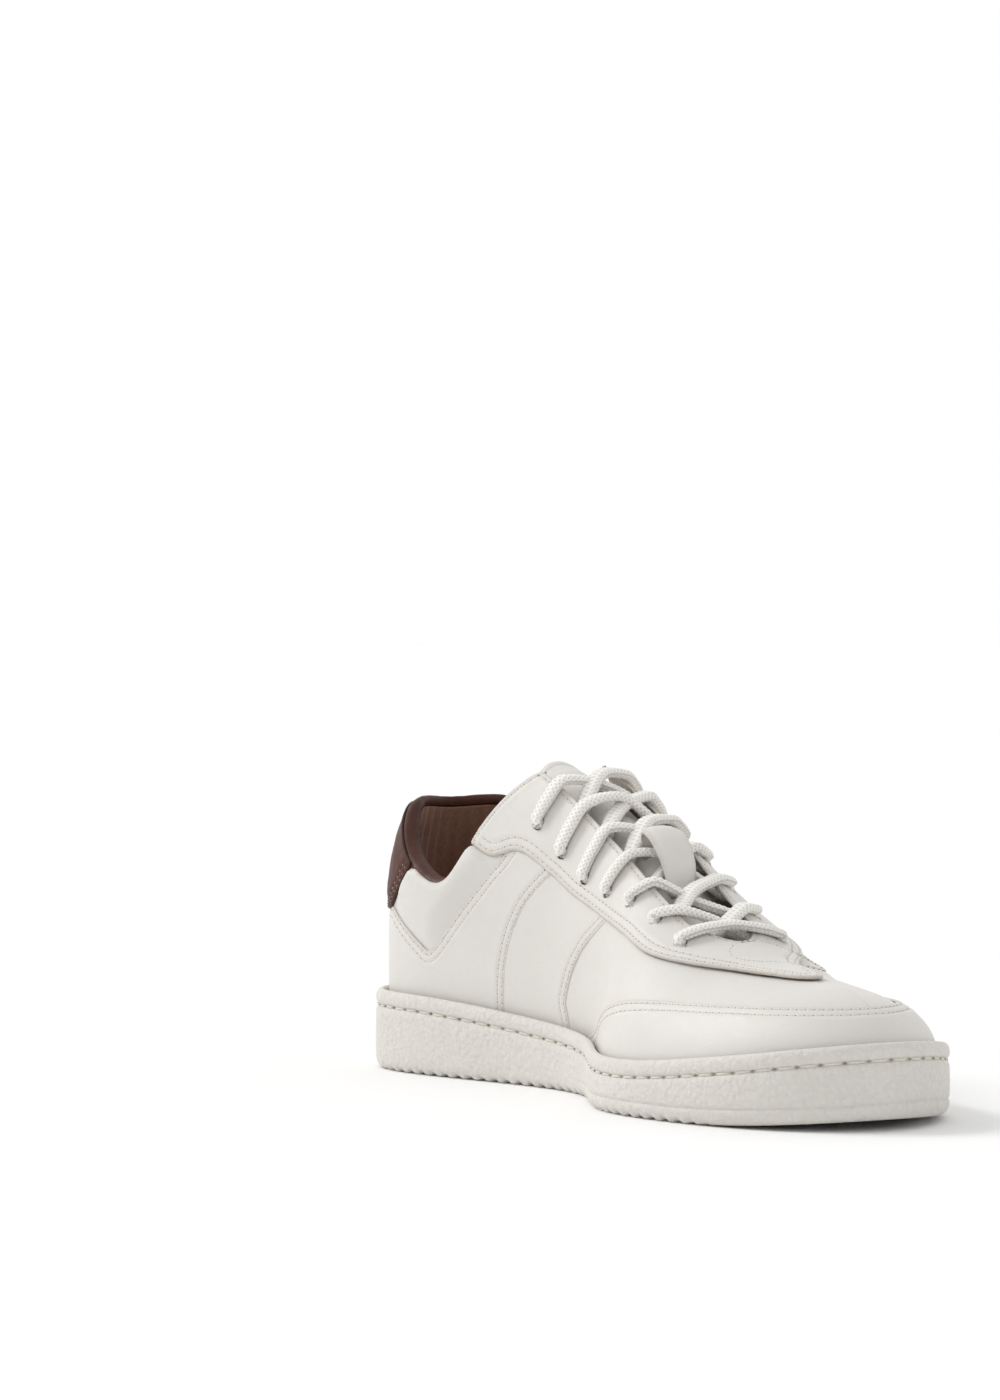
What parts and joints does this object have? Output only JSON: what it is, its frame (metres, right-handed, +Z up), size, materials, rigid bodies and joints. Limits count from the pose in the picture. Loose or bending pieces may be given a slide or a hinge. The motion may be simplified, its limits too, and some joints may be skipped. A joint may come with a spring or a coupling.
{
  "type": "low court shoe, left foot",
  "caption": "Low lace-up leather court shoe for the left foot: rubber cupsole with studded tread, layered upper, padded collar, tongue and one lace through seven rows of eyelets.",
  "frame": {"origin": "on the ground under the middle of the shoe's bounding box", "axes": "+X from heel to toe, +Y towards the outer (lateral) side, +Z up"},
  "size_m": [0.3014, 0.1128, 0.1082],
  "materials": {
    "white_rubber": "matte",
    "tread_rubber": "matte",
    "white_leather": "satin",
    "brown_leather": "satin",
    "brown_lining": "matte",
    "cream_textile": "matte",
    "foam": "matte",
    "board": "matte",
    "clear_plastic": "gloss"
  },
  "bodies": {
    "shoe": {"cupsole": "white_rubber", "tread_panel": "tread_rubber", "midsole_filler": "foam", "strobel_board": "board", "footbed_foam": "foam", "footbed_cover": "brown_lining", "cupsole_stitch": "cream_textile", "medial_quarter": "white_leather", "lateral_quarter": "white_leather", "medial_side_stripe": "white_leather", "lateral_side_stripe": "white_leather", "medial_collar_panel": "white_leather", "lateral_collar_panel": "white_leather", "vamp": "white_leather", "toe_overlay": "white_leather", "eyestay": "white_leather", "heel_tab": "brown_leather", "heel_counter": "board", "toe_puff": "board", "collar_foam": "foam", "quarter_lining": "brown_lining", "vamp_lining": "cream_textile", "collar_rim": "brown_leather", "lace": "cream_textile", "lateral_aglet": "clear_plastic", "medial_aglet": "clear_plastic"},
    "tongue": {"tongue_outer": "white_leather", "tongue_foam": "foam", "tongue_lining": "brown_lining", "tongue_loop": "white_leather"}
  },
  "joints": [
    {"name": "tongue_hinge", "type": "hinge", "parent": "shoe", "child": "tongue", "pos_m": [0.064, 0, 0.044], "axis": [0, 1, 0], "range_deg": [-1.1, 0.15]}
  ]
}
